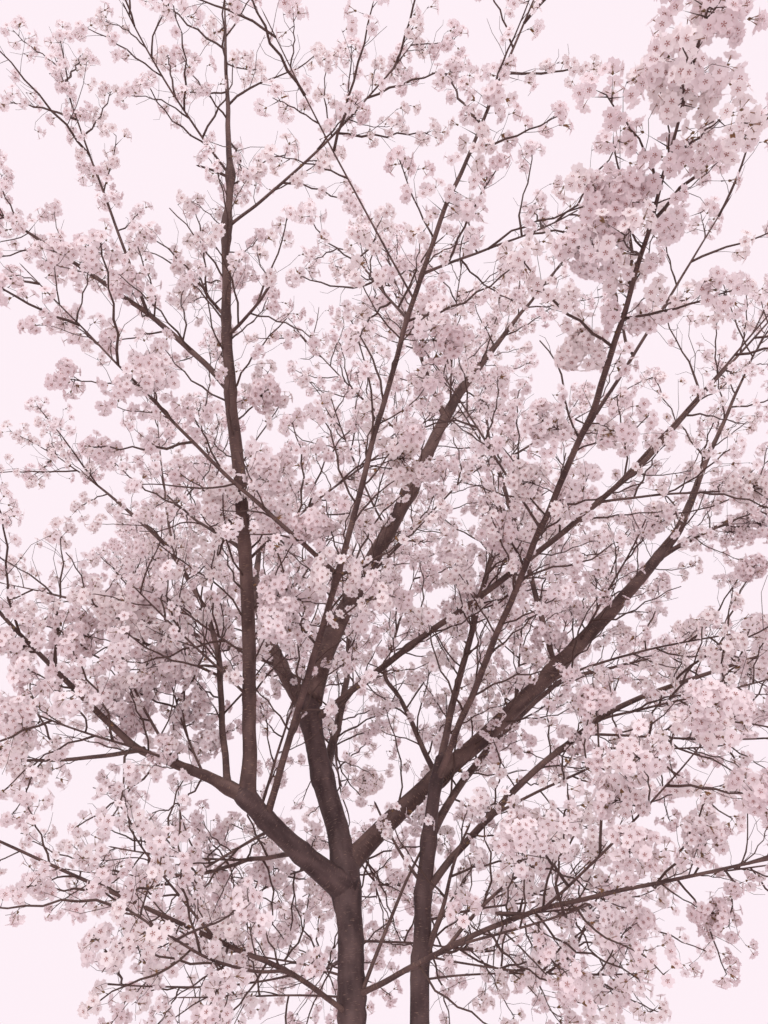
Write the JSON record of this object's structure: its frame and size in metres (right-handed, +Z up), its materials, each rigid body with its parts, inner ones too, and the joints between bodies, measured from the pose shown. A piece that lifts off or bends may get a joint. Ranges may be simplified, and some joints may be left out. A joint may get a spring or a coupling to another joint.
{
  "type": "flowering cherry tree",
  "caption": "Young cherry tree in full blossom: slender stems that fork low, rising boughs, and rounded open masses of pale pink flowers.",
  "frame": {"origin": "centre of the trunk's flat cut at ground level", "axes": "+Z up along the trunk, +X to the right and +Y away from a person who faces the tree from its front"},
  "size_m": [4.9849, 4.797, 6.1682],
  "materials": {
    "bark": "rough dark purplish brown bark with pale cross marks",
    "blossom": "soft matt pale pink petals"
  },
  "bodies": {
    "root": {"trunk": "bark", "second_stem": "bark", "left_bough": "bark", "right_bough": "bark", "left_leader": "bark", "left_reach": "bark", "left_riser": "bark", "front_bough": "bark", "front_left_bough": "bark", "upper_left_bough": "bark", "centre_right_bough": "bark", "centre_left_bough": "bark", "cross_bough": "bark", "inner_riser": "bark", "tall_riser": "bark", "stem_bough": "bark", "near_bough": "bark", "low_fork_bough": "bark", "low_right_bough": "bark", "low_left_bough": "bark", "back_low_bough": "bark", "back_left_bough": "bark", "back_middle_bough": "bark", "back_right_bough": "bark", "leader_top_mass": "blossom", "leader_right_mass": "blossom", "upper_left_mass": "blossom", "upper_shoot_mass": "blossom", "left_high_mass": "blossom", "left_low_mass": "blossom", "riser_side_mass": "blossom", "riser_top_mass": "blossom", "front_left_mass": "blossom", "front_top_mass": "blossom", "front_low_mass": "blossom", "centre_top_mass": "blossom", "centre_crest_mass": "blossom", "centre_back_mass": "blossom", "centre_left_top_mass": "blossom", "cross_top_mass": "blossom", "cross_front_mass": "blossom", "right_top_mass": "blossom", "right_side_mass": "blossom", "inner_mass": "blossom", "tall_top_mass": "blossom", "tall_right_mass": "blossom", "stem_mass": "blossom", "near_front_mass": "blossom", "near_up_mass": "blossom", "fork_side_mass": "blossom", "low_right_mass": "blossom", "low_front_mass": "blossom", "low_left_mass": "blossom", "back_low_mass": "blossom", "back_left_side_mass": "blossom", "back_left_top_mass": "blossom", "back_middle_mass": "blossom", "back_middle_top_mass": "blossom", "back_right_side_mass": "blossom", "back_right_top_mass": "blossom"}
  },
  "joints": []
}
